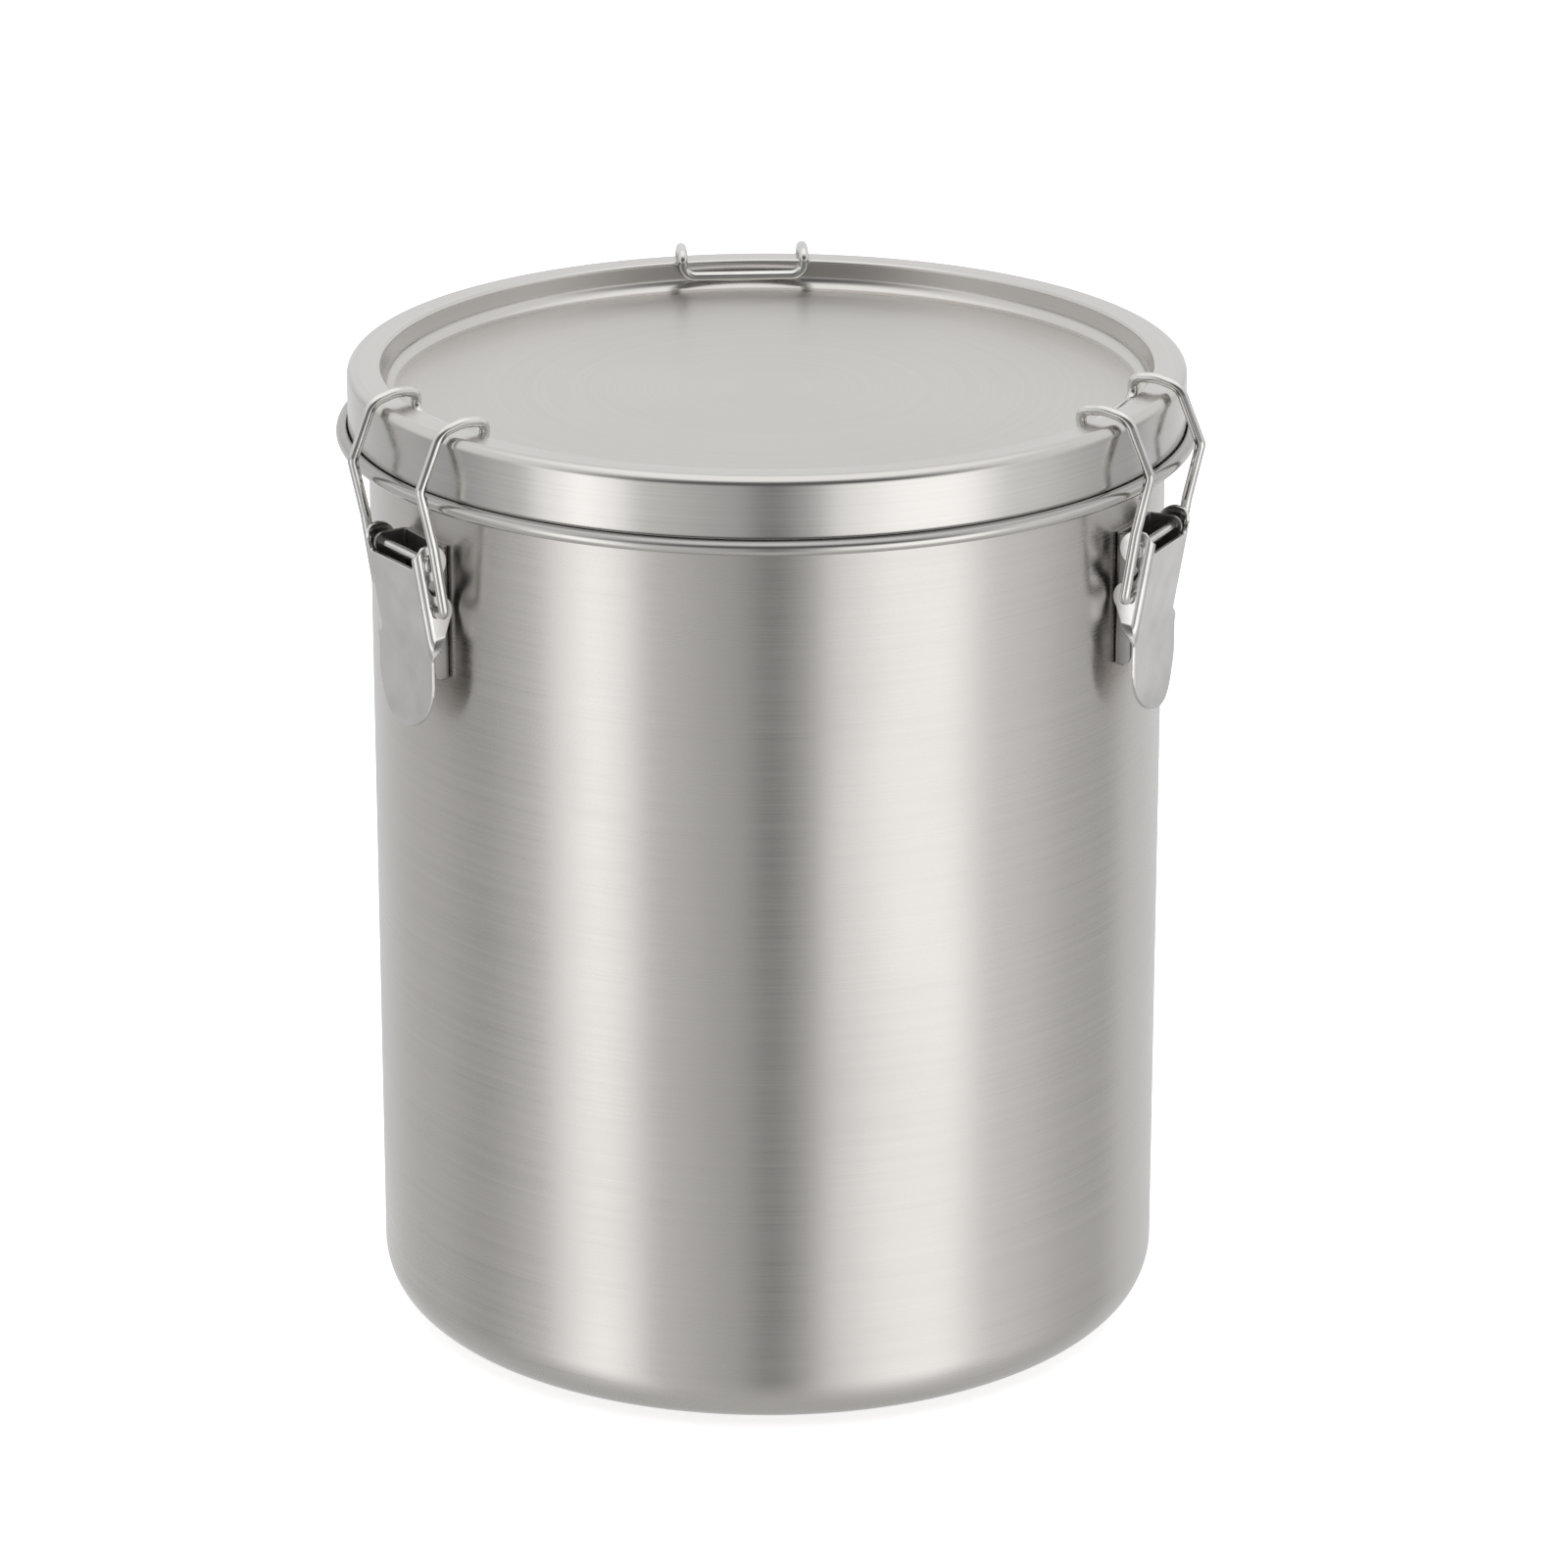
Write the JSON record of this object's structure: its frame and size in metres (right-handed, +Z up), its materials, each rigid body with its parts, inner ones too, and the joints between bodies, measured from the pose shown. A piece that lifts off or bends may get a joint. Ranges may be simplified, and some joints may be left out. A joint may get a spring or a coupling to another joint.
{
  "type": "milk can",
  "caption": "Cylindrical stainless steel milk can with a recessed flat lid, rolled hem, silicone gasket and over-centre toggle latches with wire bails.",
  "frame": {"origin": "centre of the can's flat base, on the surface it stands on", "axes": "+Z up along the can's axis, +Y through the middle of the back latch, +X to the right as seen with the back latch furthest away"},
  "size_m": [0.2594, 0.2642, 0.3039],
  "materials": {
    "barrel_steel": "brushed round the can, satin",
    "lid_steel": "matte panel with fine circular brushing, satin rim and skirt",
    "silicone": "matte translucent white",
    "latch_steel_satin": "satin",
    "latch_steel_polished": "tumble polished",
    "wire_steel": "bright drawn wire"
  },
  "bodies": {
    "can": {"barrel": "barrel_steel", "bracket_back": "latch_steel_satin", "bracket_front_left": "latch_steel_satin", "bracket_front_right": "latch_steel_satin", "pivot_pin_back": "wire_steel", "pivot_pin_front_left": "wire_steel", "pivot_pin_front_right": "wire_steel"},
    "lid": {"lid": "lid_steel", "lid_gasket": "silicone"},
    "lever_back": {"lever_back": "latch_steel_polished"},
    "bail_back": {"bail_back": "wire_steel"},
    "lever_front_left": {"lever_front_left": "latch_steel_polished"},
    "bail_front_left": {"bail_front_left": "wire_steel"},
    "lever_front_right": {"lever_front_right": "latch_steel_polished"},
    "bail_front_right": {"bail_front_right": "wire_steel"}
  },
  "joints": [
    {"name": "lid_lift", "type": "slide", "parent": "can", "child": "lid", "axis": [0, 0, 1], "range_m": [0, 0.3]},
    {"name": "lever_back_turn", "type": "hinge", "parent": "can", "child": "lever_back", "pos_m": [0, 0.1278, 0.2604], "axis": [1, 0, 0], "range_deg": [0, 120]},
    {"name": "bail_back_turn", "type": "hinge", "parent": "lever_back", "child": "bail_back", "pos_m": [0, 0.1256, 0.2453], "axis": [1, 0, 0], "range_deg": [-90, 0]},
    {"name": "lever_front_left_turn", "type": "hinge", "parent": "can", "child": "lever_front_left", "pos_m": [-0.11068, -0.0639, 0.2604], "axis": [-0.5, 0.866, 0], "range_deg": [0, 120]},
    {"name": "bail_front_left_turn", "type": "hinge", "parent": "lever_front_left", "child": "bail_front_left", "pos_m": [-0.10877, -0.0628, 0.2453], "axis": [-0.5, 0.866, 0], "range_deg": [-90, 0]},
    {"name": "lever_front_right_turn", "type": "hinge", "parent": "can", "child": "lever_front_right", "pos_m": [0.11068, -0.0639, 0.2604], "axis": [-0.5, -0.866, 0], "range_deg": [0, 120]},
    {"name": "bail_front_right_turn", "type": "hinge", "parent": "lever_front_right", "child": "bail_front_right", "pos_m": [0.10877, -0.0628, 0.2453], "axis": [-0.5, -0.866, 0], "range_deg": [-90, 0]}
  ],
  "couplings": [
    {"joint": "bail_back_turn", "follows": "lever_back_turn", "ratio": -0.73},
    {"joint": "bail_front_left_turn", "follows": "lever_front_left_turn", "ratio": -0.73},
    {"joint": "bail_front_right_turn", "follows": "lever_front_right_turn", "ratio": -0.73}
  ]
}
